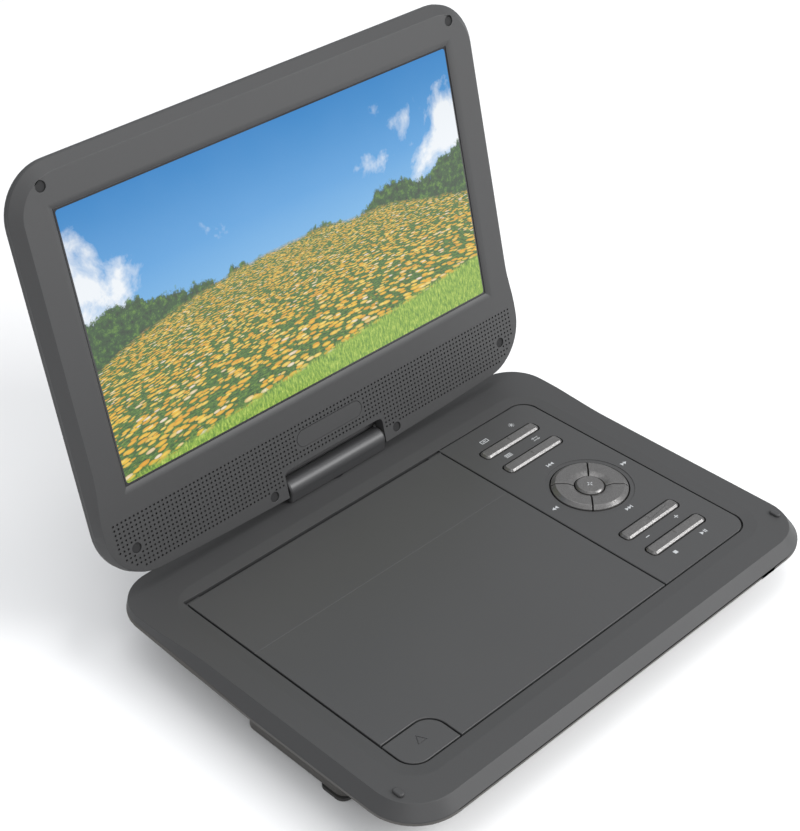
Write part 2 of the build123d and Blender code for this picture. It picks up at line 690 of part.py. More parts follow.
with BuildPart() as feed_motor:
    with BuildSketch(Plane.XZ.offset(2.8)):
        with Locations((SCREW_X, RAIL_Z)):
            Circle(2.9)
    extrude(amount=-14)
save("feed_motor", feed_motor.part)

# ---- boards, battery, ports ----
with BuildPart() as main_board:
    with BuildSketch(Plane.XY.offset(5.6)):
        with Locations((57, -6)):
            Rectangle(98, 98)
            with GridLocations(88, 88, 2, 2):
                Circle(1.6, mode=Mode.SUBTRACT)
    extrude(amount=1.6)
save("main_board", main_board.part)

with BuildPart() as board_chips:
    with BuildSketch(Plane.XY.offset(7.2)):
        with Locations((52, 6)):
            Rectangle(22, 22)
        with Locations((52, -22), (30, 12)):
            Rectangle(12, 18)
        with Locations((82, -30), (82, 24)):
            Rectangle(9, 9)
        with Locations((30, -28), (40, -40), (72, 38)):
            Circle(4)
    extrude(amount=2.2)
save("board_chips", board_chips.part)

with BuildPart() as battery_pack:
    with BuildSketch(Plane.XY.offset(4.3)):
        with Locations((-84, -1)):
            RectangleRounded(36, 84, 4)
    extrude(amount=10.6)
save("battery_pack", battery_pack.part)

with BuildPart() as battery_cover:
    with BuildSketch(Plane.XY.offset(BELLY_Z)):
        with Locations((-84, -1)):
            RectangleRounded(37.4, 89.4, 2.7)
    extrude(amount=1.8)
    with BuildSketch(Plane.XY.offset(BELLY_Z)):
        with Locations((-84, -38)):
            with GridLocations(0, 2.4, 1, 4):
                SlotOverall(16, 1.0)
    extrude(amount=0.5, mode=Mode.SUBTRACT)
save("battery_cover", battery_cover.part)

PORT_IN = PORT_X - 2.4
for jack_name, jack_y in (("headphone_jack", -31), ("av_jack", -21.5)):
    with BuildPart() as jack:
        with BuildSketch(Plane.YZ.offset(PORT_X)):
            with Locations((jack_y, 12.0)):
                Circle(3.2)
        extrude(amount=-2.4)
        with BuildSketch(Plane.YZ.offset(PORT_IN)):
            with Locations((jack_y, 11.4)):
                Rectangle(7.6, 8)
        extrude(amount=-12)
        with BuildSketch(Plane.YZ.offset(PORT_X)):
            with Locations((jack_y, 12.0)):
                Circle(1.8)
        extrude(amount=-13, mode=Mode.SUBTRACT)
    save(jack_name, jack.part)

with BuildPart() as power_jack:
    with BuildSketch(Plane.YZ.offset(PORT_X)):
        with Locations((20.5, 12.5)):
            Circle(3.7)
    extrude(amount=-2.4)
    with BuildSketch(Plane.YZ.offset(PORT_IN)):
        with Locations((20.5, 12.0)):
            Rectangle(9, 9)
    extrude(amount=-11)
    with BuildSketch(Plane.YZ.offset(PORT_X)):
        with Locations((20.5, 12.5)):
            Circle(2.75)
    extrude(amount=-9.5, mode=Mode.SUBTRACT)
    with BuildSketch(Plane.YZ.offset(PORT_X - 9.5)):
        with Locations((20.5, 12.5)):
            Circle(0.65)
    extrude(amount=8.5)
save("power_jack", power_jack.part)

with BuildPart() as usb_socket:
    with BuildSketch(Plane.YZ.offset(PORT_X)):
        with Locations((-7.5, 12.4)):
            Rectangle(14.4, 6.4)
            Rectangle(13.4, 5.4, mode=Mode.SUBTRACT)
    extrude(amount=-14)
    with BuildSketch(Plane.YZ.offset(PORT_X - 14)):
        with Locations((-7.5, 12.4)):
            Rectangle(14.4, 6.4)
    extrude(amount=-1)
    with BuildSketch(Plane.YZ.offset(PORT_X - 14)):
        with Locations((-7.5, 13.6)):
            Rectangle(11.0, 1.8)
    extrude(amount=12.5)
save("usb_socket", usb_socket.part)

with BuildPart() as card_slot:
    with BuildSketch(Plane.YZ.offset(PORT_X)):
        with Locations((6.0, 7.2 + 1.8)):
            Rectangle(26.4, 3.2, align=(Align.CENTER, Align.MAX))
            Rectangle(24.4, 0.4, align=(Align.CENTER, Align.MAX), mode=Mode.SUBTRACT)
    extrude(amount=-2.0)
save("card_slot", card_slot.part)

with BuildPart() as power_switch:
    with BuildSketch(Plane.YZ.offset(PORT_X - 4.4)):
        with Locations((6.6, 14.0)):
            Rectangle(9.0, 5.0)
    extrude(amount=1.6)
    with BuildSketch(Plane.YZ.offset(PORT_X - 2.8)):
        with Locations((6.2, 14.0)):
            RectangleRounded(5.0, 2.8, 0.8)
    extrude(amount=3.6)
    chamfer(power_switch.faces().sort_by(Axis.X)[-1].edges(), 0.4)
save("power_switch", power_switch.part)

# ---- feet, rest bumps, screws ----
FOOT_PLACES = [(-119.0, -38), (119.0, -38)]
with BuildPart() as rubber_feet:
    with BuildSketch(Plane.XY):
        with Locations(*FOOT_PLACES):
            RectangleRounded(9.4, 15, 4.2)
        with Locations((-24, 88), (24, 88)):
            RectangleRounded(22, 9, 4.2)
    extrude(amount=BELLY_Z)
    chamfer(rubber_feet.faces().sort_by(Axis.Z)[:4].edges(), 0.5)
save("rubber_feet", rubber_feet.part)

with BuildPart() as rest_bumps:
    with BuildSketch(Plane.XY.offset(RIM_Z)):
        with Locations((-121, -74), (121, -74)):
            SlotOverall(5.4, 2.8, rotation=90)
    extrude(amount=1.3)
    fillet(rest_bumps.faces().filter_by(Axis.Z).group_by(Axis.Z)[-1].edges(), 0.7)
save("rest_bumps", rest_bumps.part)

with BuildPart() as case_screws:
    with BuildSketch(Plane.XY.offset(BELLY_Z + SKIN)):
        with Locations((-30, 60), (30, 60), (-30, 88), (30, 88)):
            Circle(2.4)
    extrude(amount=1.6)
    with BuildSketch(Plane.XY.offset(BELLY_Z + SKIN + 1.6)):
        with Locations((-30, 60), (30, 60), (-30, 88), (30, 88)):
            Circle(1.2)
    extrude(amount=6)
save("case_screws", case_screws.part)

with BuildPart() as infrared_window:
    with BuildSketch(Plane.XZ.offset(-FRONT_Y)):
        with Locations((92, WALL_Z + 0.85)):
            RectangleRounded(9, 1.1, 0.4)
    extrude(amount=-0.6)
save("infrared_window", infrared_window.part)

# ======== hinge ========
with BuildPart() as swivel_bush:
    with BuildSketch(Plane.XY.offset(16.5)):
        with Locations((0, HINGE_Y)):
            Circle(BUSH_R)
            Circle(SHAFT_R + FIT, mode=Mode.SUBTRACT)
    extrude(amount=RIM_Z - 16.5)
save("swivel_bush", swivel_bush.part)

with BuildPart() as hinge_barrel:
    with BuildSketch(Plane.YZ):
        with Locations((HINGE_Y, HINGE_Z)):
            Circle(BARREL_R)
        with BuildLine():
            Polyline((HINGE_Y - BARREL_R, HINGE_Z), (HINGE_Y - BARREL_R + 0.5, BARREL_Z),
                     (HINGE_Y + BARREL_R - 0.5, BARREL_Z), (HINGE_Y + BARREL_R, HINGE_Z), close=True)
        make_face()
    extrude(amount=BARREL_HALF, both=True)
    fillet(hinge_barrel.edges().filter_by(Axis.Z, tolerance=8), 1.2)
    with BuildSketch(Plane.YZ.offset(BARREL_HALF)):
        with Locations((HINGE_Y, HINGE_Z)):
            Circle(3.6)
    extrude(amount=-SLEEVE_LENGTH, mode=Mode.SUBTRACT)
    with BuildSketch(Plane.YZ.offset(-BARREL_HALF)):
        with Locations((HINGE_Y, HINGE_Z)):
            Circle(3.6)
    extrude(amount=SLEEVE_LENGTH, mode=Mode.SUBTRACT)
    with BuildSketch(Plane.XY.offset(BARREL_Z)):
        with Locations((0, HINGE_Y)):
            Circle(SHAFT_R)
    extrude(amount=6, mode=Mode.SUBTRACT)
save("hinge_barrel", hinge_barrel.part)

with BuildPart() as swivel_shaft:
    with BuildSketch(Plane.XY.offset(12.0)):
        with Locations((0, HINGE_Y)):
            Circle(SHAFT_R)
            Circle(1.8, mode=Mode.SUBTRACT)
    extrude(amount=BARREL_Z + 6 - 12.0)
save("swivel_shaft", swivel_shaft.part)

with BuildPart() as swivel_washer:
    with BuildSketch(Plane.XY.offset(13.4)):
        with Locations((0, HINGE_Y)):
            RegularPolygon(4.5, 6)
            Circle(SHAFT_R, mode=Mode.SUBTRACT)
    extrude(amount=1.8)
save("swivel_nut", swivel_washer.part)

with BuildPart() as friction_sleeves:
    with BuildSketch(Plane.YZ):
        with Locations((HINGE_Y, HINGE_Z)):
            Circle(3.6)
            Circle(PIN_R + FIT, mode=Mode.SUBTRACT)
    extrude(amount=BARREL_HALF, both=True)
    with BuildSketch(Plane.YZ):
        with Locations((HINGE_Y, HINGE_Z)):
            Circle(4)
    extrude(amount=BARREL_HALF - SLEEVE_LENGTH, both=True, mode=Mode.SUBTRACT)
save("friction_sleeves", friction_sleeves.part)

# ======== screen ========
HINGE_LINE = Plane(origin=(0, HINGE_Y, HINGE_Z), x_dir=(0, 1, 0), z_dir=(1, 0, 0))

with BuildPart() as tilt_pins:
    with BuildSketch(HINGE_LINE):
        Circle(PIN_R)
    extrude(amount=36.0, both=True)
    with BuildSketch(HINGE_LINE):
        Circle(PIN_R + 1)
    extrude(amount=18.0, both=True, mode=Mode.SUBTRACT)
save("tilt_pins", tilt_pins.part)

KNUCKLE_R = 3.2
with BuildPart() as hinge_brackets:
    with BuildSketch(HINGE_LINE):
        Circle(KNUCKLE_R)
    extrude(amount=36.0, both=True)
    with BuildSketch(SCREEN.offset(2.7)):
        Rectangle(72, 34, align=(Align.CENTER, Align.MAX))
        with Locations((0, -22)):
            Rectangle(120, 12, align=(Align.CENTER, Align.MAX))
    extrude(amount=1.6)
    with BuildSketch(HINGE_LINE):
        Rectangle(100, 100)
        Circle(PIN_R)
    extrude(amount=NOTCH_HALF + 0.5, both=True, mode=Mode.SUBTRACT)
    with BuildSketch(HINGE_LINE):
        Circle(PIN_R)
    extrude(amount=36.0, both=True, mode=Mode.SUBTRACT)
save("hinge_brackets", hinge_brackets.part)


def well_places(places):
    """The places of screws on both sides of the screen."""
    return [(side * x, y) for x, y in places for side in (-1, 1)]


with BuildPart() as screen_bezel:
    with BuildSketch(SCREEN.offset(FACE_Z)):
        add(screen_face(BEVEL_RUN, BEVEL_RUN_HINGE, BEVEL_RUN_REAR))
    with BuildSketch(SCREEN.offset(FACE_Z + SCREEN_BEVEL_DEPTH)):
        add(screen_face(0, 0, 0))
    loft(ruled=True)
    with BuildSketch(SCREEN.offset(FACE_Z + SCREEN_BEVEL_DEPTH)):
        add(screen_face(0, 0, 0))
    extrude(amount=COVER_Z - FACE_Z - SCREEN_BEVEL_DEPTH)
    with BuildSketch(SCREEN.offset(LCD_FRONT_Z)):
        add(screen_face(4.6, 3.2, 8.6))
        with Locations(*well_places(WELLS)):
            Circle(4.0, mode=Mode.SUBTRACT)
        with Locations((0, NOTCH_Y - 2)):
            Rectangle(2 * NOTCH_HALF + 4, 30, align=(Align.CENTER, Align.MIN), mode=Mode.SUBTRACT)
    extrude(amount=10, mode=Mode.SUBTRACT)
    with BuildSketch(SCREEN.offset(FACE_Z)):
        with Locations((0, LCD_Y)):
            Rectangle(LCD_W + 6, LCD_H + 6)
    with BuildSketch(SCREEN.offset(FACE_Z + 1.5)):
        with Locations((0, LCD_Y)):
            Rectangle(LCD_W, LCD_H)
    loft(ruled=True, mode=Mode.SUBTRACT)
    with BuildSketch(SCREEN.offset(FACE_Z)):
        with Locations((0, LCD_Y)):
            Rectangle(LCD_W, LCD_H)
    extrude(amount=3, mode=Mode.SUBTRACT)
    # hinge notch
    with BuildSketch(SCREEN.offset(FACE_Z - 1)):
        with Locations((0, NOTCH_Y)):
            RectangleRounded(2 * NOTCH_HALF, 40, 2.5, align=(Align.CENTER, Align.MIN))
    extrude(amount=10, mode=Mode.SUBTRACT)
    # pockets for the brackets
    with BuildSketch(HINGE_LINE):
        Circle(KNUCKLE_R + 0.3)
    extrude(amount=36.4, both=True, mode=Mode.SUBTRACT)
    # screw wells
    with BuildSketch(SCREEN.offset(FACE_Z)):
        with Locations(*well_places(WELLS)):
            Circle(WELL_R)
    extrude(amount=3.2, mode=Mode.SUBTRACT)
    with BuildSketch(SCREEN.offset(FACE_Z)):
        with Locations(*well_places(WELLS)):
            Circle(1.2)
    extrude(amount=8, mode=Mode.SUBTRACT)
    # seat of the blank plate
    with BuildSketch(SCREEN.offset(FACE_Z)):
        with Locations((0, -21.4)):
            SlotOverall(40.6, 8.5)
    extrude(amount=0.8, mode=Mode.SUBTRACT)
save("screen_bezel", screen_bezel.part)

with BuildPart() as blank_plate:
    with BuildSketch(SCREEN.offset(FACE_Z + 0.1)):
        with Locations((0, -21.4)):
            SlotOverall(40.2, 8.1)
    extrude(amount=0.7)
save("blank_plate", blank_plate.part)

WALL_END_Z = 3.4
SEAT_R = 5.6  # the cover curves round the top of the barrel
SHOULDER_Z = 7.0
with BuildPart() as screen_rear_cover:
    with BuildSketch(SCREEN.offset(COVER_Z)):
        add(screen_face(0, 0, 0))
    extrude(amount=WALL_END_Z - COVER_Z)
    with BuildSketch(SCREEN.offset(WALL_END_Z)):
        add(screen_face(0, 0, 0))
    with BuildSketch(SCREEN.offset(SHOULDER_Z)):
        add(screen_face(3.5, 3.5, 8.5))
    loft(ruled=True)
    with BuildSketch(SCREEN.offset(SHOULDER_Z)):
        add(screen_face(3.5, 3.5, 8.5))
    with BuildSketch(SCREEN.offset(BACK_Z)):
        add(screen_face(BACK_INSET, BACK_INSET, 17))
    loft(ruled=True)
    with BuildSketch(SCREEN.offset(COVER_Z)):
        add(screen_face(5.2, 5.2, 12.0))
        with Locations((0, NOTCH_Y - 2)):
            Rectangle(2 * NOTCH_HALF + 14, 30, align=(Align.CENTER, Align.MIN), mode=Mode.SUBTRACT)
        with Locations(*well_places(WELLS)):
            Circle(3.4, mode=Mode.SUBTRACT)
    extrude(amount=5.0, mode=Mode.SUBTRACT)
    with BuildSketch(SCREEN.offset(COVER_Z)):
        with Locations((0, LCD_Y)):
            RectangleRounded(200, 120, 6)
    extrude(amount=6.6, mode=Mode.SUBTRACT)
    with BuildSketch(SCREEN.offset(COVER_Z - 1)):
        with Locations((0, NOTCH_Y)):
            RectangleRounded(2 * NOTCH_HALF, 40, 2.5, align=(Align.CENTER, Align.MIN))
    extrude(amount=12, mode=Mode.SUBTRACT)
    with BuildSketch(HINGE_LINE):
        Circle(KNUCKLE_R + 0.3)
    extrude(amount=36.4, both=True, mode=Mode.SUBTRACT)
    with BuildSketch(SCREEN.offset(COVER_Z)):
        Rectangle(73.2, 14, align=(Align.CENTER, Align.MAX))
    extrude(amount=3.0, mode=Mode.SUBTRACT)
    with BuildSketch(SCREEN.offset(COVER_Z)):
        with Locations(*well_places(WELLS)):
            Circle(1.15)
    extrude(amount=2.6, mode=Mode.SUBTRACT)
    # lip that closes the notch behind the top of the barrel
    with BuildSketch(SCREEN.offset(COVER_Z + 1.0)):
        with Locations((0, -2.2)):
            Rectangle(2 * NOTCH_HALF, 9.8, align=(Align.CENTER, Align.MAX))
    extrude(amount=3.4)
    with BuildSketch(HINGE_LINE):
        Circle(SEAT_R)
    extrude(amount=NOTCH_HALF, both=True, mode=Mode.SUBTRACT)
save("screen_rear_cover", screen_rear_cover.part)

with BuildPart() as lcd_panel:
    with BuildSketch(SCREEN.offset(LCD_FRONT_Z)):
        with Locations((0, LCD_Y)):
            Rectangle(229, 135.4)
    extrude(amount=4.6)
save("lcd_panel", lcd_panel.part)

with BuildPart() as driver_board:
    with BuildSketch(SCREEN.offset(3.4)):
        with Locations((0, -80)):
            Rectangle(110, 40)
    extrude(amount=1.2)
    with BuildSketch(SCREEN.offset(4.6)):
        with Locations((-20, -80), (24, -84)):
            Rectangle(14, 14)
    extrude(amount=1.6)
save("driver_board", driver_board.part)

for speaker_name, speaker_side in (("speaker_left", -1), ("speaker_right", 1)):
    with BuildPart() as speaker:
        with BuildSketch(SCREEN.offset(LCD_FRONT_Z + 0.2)):
            with Locations((speaker_side * 86, -22)):
                SlotOverall(38, 20)
        extrude(amount=2.6)
        with BuildSketch(SCREEN.offset(LCD_FRONT_Z + 2.8)):
            with Locations((speaker_side * 86, -22)):
                Circle(8)
        extrude(amount=3.2)
    save(speaker_name, speaker.part)

with BuildPart() as screw_plugs:
    with BuildSketch(SCREEN.offset(FACE_Z + 0.7)):
        with Locations(*well_places(WELLS)):
            Circle(WELL_R - 0.1)
    extrude(amount=0.9)
save("screw_plugs", screw_plugs.part)

with BuildPart() as screen_screws:
    with BuildSketch(SCREEN.offset(FACE_Z + 1.7)):
        with Locations(*well_places(WELLS)):
            Circle(2.1)
            RegularPolygon(0.9, 4, mode=Mode.SUBTRACT)
    extrude(amount=1.5)
    with BuildSketch(SCREEN.offset(FACE_Z + 3.2)):
        with Locations(*well_places(WELLS)):
            Circle(1.1)
    extrude(amount=4.6)
save("screen_screws", screen_screws.part)
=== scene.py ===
"""Looks of a portable disc player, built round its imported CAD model."""

import json
import math

import bmesh
import bpy
from mathutils import Matrix, Vector


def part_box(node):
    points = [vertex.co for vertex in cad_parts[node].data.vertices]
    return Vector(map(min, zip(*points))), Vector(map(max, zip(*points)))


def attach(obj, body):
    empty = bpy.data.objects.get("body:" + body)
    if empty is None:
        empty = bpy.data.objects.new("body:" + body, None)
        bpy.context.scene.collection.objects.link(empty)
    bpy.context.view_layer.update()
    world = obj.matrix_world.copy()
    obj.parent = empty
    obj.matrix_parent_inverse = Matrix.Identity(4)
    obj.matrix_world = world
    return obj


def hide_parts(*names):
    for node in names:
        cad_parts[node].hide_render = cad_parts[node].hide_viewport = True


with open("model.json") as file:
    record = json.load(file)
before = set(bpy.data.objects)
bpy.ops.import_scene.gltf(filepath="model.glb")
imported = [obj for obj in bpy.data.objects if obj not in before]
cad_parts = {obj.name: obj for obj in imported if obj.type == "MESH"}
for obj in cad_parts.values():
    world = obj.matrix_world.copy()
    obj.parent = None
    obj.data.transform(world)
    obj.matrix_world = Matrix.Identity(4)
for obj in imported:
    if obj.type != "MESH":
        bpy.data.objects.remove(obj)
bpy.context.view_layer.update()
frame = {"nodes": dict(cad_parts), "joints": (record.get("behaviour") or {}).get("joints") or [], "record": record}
NODES = frame["nodes"]
JOINTS = {j["name"]: j for j in frame["joints"]}
MM = 0.001

# ---- places taken from the frame ----
TILT_AXIS = Vector(JOINTS["screen_tilt"]["pos_m"])
PANEL_LOW, PANEL_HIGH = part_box("control_panel")
PANEL_TOP = PANEL_HIGH.z
RECESS_Y = (PANEL_LOW.y + PANEL_HIGH.y) / 2  # middle of the recess that holds the lid and the panel
RING_LOW, RING_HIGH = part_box("ok_button")
RING_X = (RING_LOW.x + RING_HIGH.x) / 2
RING_Y = (RING_LOW.y + RING_HIGH.y) / 2
OPEN_ANGLE = math.radians(103.6)  # between the base and the screen's back at rest


def placed(x_axis, y_axis, z_axis, origin):
    """Matrix with these axes and this origin."""
    return Matrix((
        (x_axis[0], y_axis[0], z_axis[0], origin[0]),
        (x_axis[1], y_axis[1], z_axis[1], origin[1]),
        (x_axis[2], y_axis[2], z_axis[2], origin[2]),
        (0, 0, 0, 1),
    ))


# The screen's own axes: x runs across, y from top edge to heel, z from face to back.
SCREEN = placed(
    (1, 0, 0),
    (0, math.cos(OPEN_ANGLE), -math.sin(OPEN_ANGLE)),
    (0, math.sin(OPEN_ANGLE), math.cos(OPEN_ANGLE)),
    TILT_AXIS,
)
FACE_Z = -4.2 * MM  # the bezel's face
PICTURE_W = 222.72 * MM
PICTURE_H = 125.28 * MM
PICTURE_Y = -104.94 * MM
BORDER = 0.9 * MM  # dark border of the display inside its window
BORDER_R = 1.4 * MM


# ======== camera ========
CAMERA_AZIMUTH, CAMERA_ELEVATION, CAMERA_ROLL = -44.64, 35.15, -0.2  # degrees
CAMERA_DISTANCE = 0.80230
CAMERA_RIGHT, CAMERA_UP = -0.03318, 0.06471  # its shift across the line to the recess's middle
LENS_MM, SENSOR_MM = 78.555, 36
CLIP_NEAR, CLIP_FAR = 0.05, 20


def look_axes(azimuth, elevation, roll):
    """Right, up and back axes of a camera that looks at the object from a direction in degrees."""
    a, e, r = (math.radians(v) for v in (azimuth, elevation, roll))
    back = Vector((math.sin(a) * math.cos(e), -math.cos(a) * math.cos(e), math.sin(e)))
    right = Vector((0, 0, 1)).cross(back).normalized()
    up = back.cross(right)
    return (math.cos(r) * right + math.sin(r) * up, math.cos(r) * up - math.sin(r) * right, back)


def add_object(name, data):
    """Put the data into the scene as an object."""
    made = bpy.data.objects.new(name, data)
    bpy.context.scene.collection.objects.link(made)
    return made


right, up, back = look_axes(CAMERA_AZIMUTH, CAMERA_ELEVATION, CAMERA_ROLL)
camera_data = bpy.data.cameras.new("camera")
camera_data.lens = LENS_MM
camera_data.sensor_width = SENSOR_MM
camera_data.clip_start, camera_data.clip_end = CLIP_NEAR, CLIP_FAR
camera = add_object("camera", camera_data)
recess_middle = Vector((0, RECESS_Y, PANEL_TOP))
camera.matrix_world = placed(
    right, up, back, recess_middle + back * CAMERA_DISTANCE + right * CAMERA_RIGHT + up * CAMERA_UP)
bpy.context.scene.camera = camera
bpy.context.scene.view_settings.view_transform = "Standard"


# ======== material helpers ========
class Nodes:
    """A material's node tree, with short calls to add and link its nodes."""

    def __init__(self, name):
        self.material = bpy.data.materials.new(name)
        self.material.use_nodes = True
        self.tree = self.material.node_tree
        self.shader = self.tree.nodes["Principled BSDF"]
        self.place = self.add("ShaderNodeTexCoord").outputs["Object"]

    def add(self, kind, **values):
        """Add a node; values are its settings, or its inputs where it has one of that name."""
        node = self.tree.nodes.new(kind)
        for key, value in values.items():
            if key in node.bl_rna.properties:
                setattr(node, key, value)
        for key, value in values.items():
            if key not in node.bl_rna.properties:
                socket = node.inputs[int(key[1:])] if key[1:].isdigit() else node.inputs[key]
                self.feed(socket, value)
        return node

    def feed(self, socket, value):
        """Link an output to a socket, or set the socket's own value."""
        if isinstance(value, bpy.types.NodeSocket):
            self.tree.links.new(value, socket)
        else:
            socket.default_value = value

    def set(self, **values):
        """Feed the shader's sockets; underscores stand for the blanks in their names."""
        for key, value in values.items():
            self.feed(self.shader.inputs[key.replace("_", " ")], value)

    def math(self, operation, a, b=0.0, c=0.0, clamp=False):
        """Arithmetic on one to three values; c is used by MULTIPLY_ADD alone."""
        node = self.add("ShaderNodeMath", operation=operation, use_clamp=clamp, _0=a, _1=b)
        if operation == "MULTIPLY_ADD":
            self.feed(node.inputs[2], c)
        return node.outputs[0]

    def vector(self, operation, a, b):
        """Vector arithmetic; gives the node, since its result has two sockets."""
        return self.add("ShaderNodeVectorMath", operation=operation, _0=a, _1=b)

    def joined(self, x, y):
        """Vector of an x and a y."""
        return self.add("ShaderNodeCombineXYZ", X=x, Y=y, Z=0.0).outputs[0]

    def below(self, limit, value, sharpness):
        """1 where the value is under the limit, with an edge as sharp as told."""
        return self.math("MULTIPLY", self.math("SUBTRACT", limit, value), sharpness, clamp=True)

    def noise(self, scale, detail=2.0, roughness=0.5, vector=None, distortion=0.0):
        """Noise over the object's own space, or over another vector."""
        node = self.add("ShaderNodeTexNoise", Scale=scale, Detail=detail, Roughness=roughness,
                        Distortion=distortion)
        self.feed(node.inputs["Vector"], vector or self.place)
        return node.outputs["Fac"]

    def span(self, value, low, high, out_low, out_high):
        """Map a value from one range to another, held at its ends."""
        node = self.add("ShaderNodeMapRange")
        for socket, number in zip(("Value", "From Min", "From Max", "To Min", "To Max"),
                                  (value, low, high, out_low, out_high)):
            self.feed(node.inputs[socket], number)
        return node.outputs[0]

    def ramp(self, value, stops):
        """Colour ramp; stops are (place, colour)."""
        node = self.add("ShaderNodeValToRGB")
        node.color_ramp.elements[0].position = stops[0][0]
        node.color_ramp.elements[0].color = (*stops[0][1], 1)
        node.color_ramp.elements[1].position = stops[-1][0]
        node.color_ramp.elements[1].color = (*stops[-1][1], 1)
        for position, colour in stops[1:-1]:
            node.color_ramp.elements.new(position).color = (*colour, 1)
        self.feed(node.inputs[0], value)
        return node.outputs[0]

    def mix(self, factor, a, b):
        """Mix two colours."""
        node = self.add("ShaderNodeMix", data_type="RGBA")
        self.feed(node.inputs[0], factor)
        for socket, value in ((node.inputs[6], a), (node.inputs[7], b)):
            self.feed(socket, (*value, 1) if isinstance(value, tuple) else value)
        return node.outputs[2]

    def bump(self, height, distance):
        """Bump the shader's surface by a height between 0 and 1 times a distance in metres."""
        node = self.add("ShaderNodeBump", Height=height, Distance=distance, Strength=1.0)
        self.feed(self.shader.inputs["Normal"], node.outputs[0])


def shade(colour, factor):
    """A colour made darker or lighter."""
    return tuple(min(1.0, channel * factor) for channel in colour)


def moulded(name, colour, roughness, grain=0.30, depth=0.012):
    """Moulded plastic with an eroded grain: a fine bump, and slow changes of tone and gloss.

    The grain's size and depth are in millimetres.
    """
    m = Nodes(name)
    fine = m.noise(1 / (grain * MM), detail=3.0, roughness=0.6)
    slow = m.noise(14.0, detail=3.0)
    tone = m.span(m.math("ADD", m.math("MULTIPLY", fine, 0.7), m.math("MULTIPLY", slow, 0.3)),
                  0.3, 0.7, 0.0, 1.0)
    m.set(Base_Color=m.mix(tone, shade(colour, 0.90), shade(colour, 1.10)))
    m.set(Roughness=m.span(slow, 0.3, 0.7, roughness - 0.05, roughness + 0.05))
    m.bump(fine, depth * MM)
    return m.material


def key_finish(name, colour):
    """Satin key paint with fine metal flakes."""
    m = Nodes(name)
    flakes = m.add("ShaderNodeTexVoronoi", Scale=5200.0, Vector=m.place)
    flake = m.add("ShaderNodeSeparateColor", Color=flakes.outputs["Color"]).outputs[0]
    fine = m.noise(2600.0, detail=2.0)
    tone = m.math("ADD", m.math("MULTIPLY", flake, 0.65), m.math("MULTIPLY", fine, 0.35))
    m.set(Base_Color=m.ramp(tone, [(0.15, shade(colour, 0.62)), (0.55, colour),
                                   (0.85, shade(colour, 1.6))]))
    m.set(Roughness=m.span(flake, 0.0, 1.0, 0.40, 0.24))
    m.shader.inputs["Metallic"].default_value = 0.45
    m.bump(fine, 0.006 * MM)
    return m.material


def metal(name, colour, roughness, brushed=True):
    """Bare metal, with fine lines along X where it is brushed."""
    m = Nodes(name)
    stretch = (60.0, 3000.0, 3000.0) if brushed else (900.0, 900.0, 900.0)
    vector = m.vector("MULTIPLY", m.place, stretch).outputs[0]
    lines = m.noise(1.0, detail=3.0, vector=vector)
    m.set(Base_Color=m.mix(lines, shade(colour, 0.85), shade(colour, 1.1)))
    m.set(Roughness=m.span(lines, 0.3, 0.7, roughness - 0.08, roughness + 0.1))
    m.shader.inputs["Metallic"].default_value = 1.0
    m.bump(lines, 0.004 * MM)
    return m.material


def rubber(name, colour):
    """Matte rubber with a fine pebble."""
    m = Nodes(name)
    pebble = m.noise(2200.0, detail=4.0, roughness=0.7)
    m.set(Base_Color=m.mix(pebble, shade(colour, 0.75), shade(colour, 1.3)))
    m.set(Roughness=m.span(pebble, 0.3, 0.7, 0.75, 0.95))
    m.bump(pebble, 0.02 * MM)
    return m.material


def board(name):
    """Circuit board: solder mask over copper tracks."""
    m = Nodes(name)
    tracks = m.add("ShaderNodeTexBrick", Vector=m.place, Scale=120.0, offset=0.5)
    tracks.inputs["Color1"].default_value = (0.006, 0.075, 0.03, 1)
    tracks.inputs["Color2"].default_value = (0.01, 0.11, 0.045, 1)
    tracks.inputs["Mortar"].default_value = (0.03, 0.18, 0.07, 1)
    tracks.inputs["Mortar Size"].default_value = 0.03
    haze = m.noise(900.0)
    shown = m.span(haze, 0.3, 0.7, 0.0, 0.3)
    m.set(Base_Color=m.mix(shown, tracks.outputs["Color"], (0.02, 0.14, 0.05)))
    m.set(Roughness=m.span(haze, 0.3, 0.7, 0.3, 0.45))
    m.bump(tracks.outputs["Fac"], 0.03 * MM)
    return m.material


def window_gloss(name, colour):
    """Dark glossy plastic or glass with faint smears."""
    m = Nodes(name)
    smear = m.noise(45.0, detail=4.0)
    m.set(Base_Color=m.mix(smear, shade(colour, 0.8), shade(colour, 1.25)))
    m.set(Roughness=m.span(smear, 0.3, 0.7, 0.06, 0.14))
    return m.material


def print_ink(name, colour):
    """Printed ink, slightly uneven."""
    m = Nodes(name)
    grain = m.noise(5000.0, detail=3.0)
    m.set(Base_Color=m.mix(grain, shade(colour, 0.75), shade(colour, 1.15)))
    m.set(Roughness=m.span(grain, 0.3, 0.7, 0.4, 0.6))
    return m.material


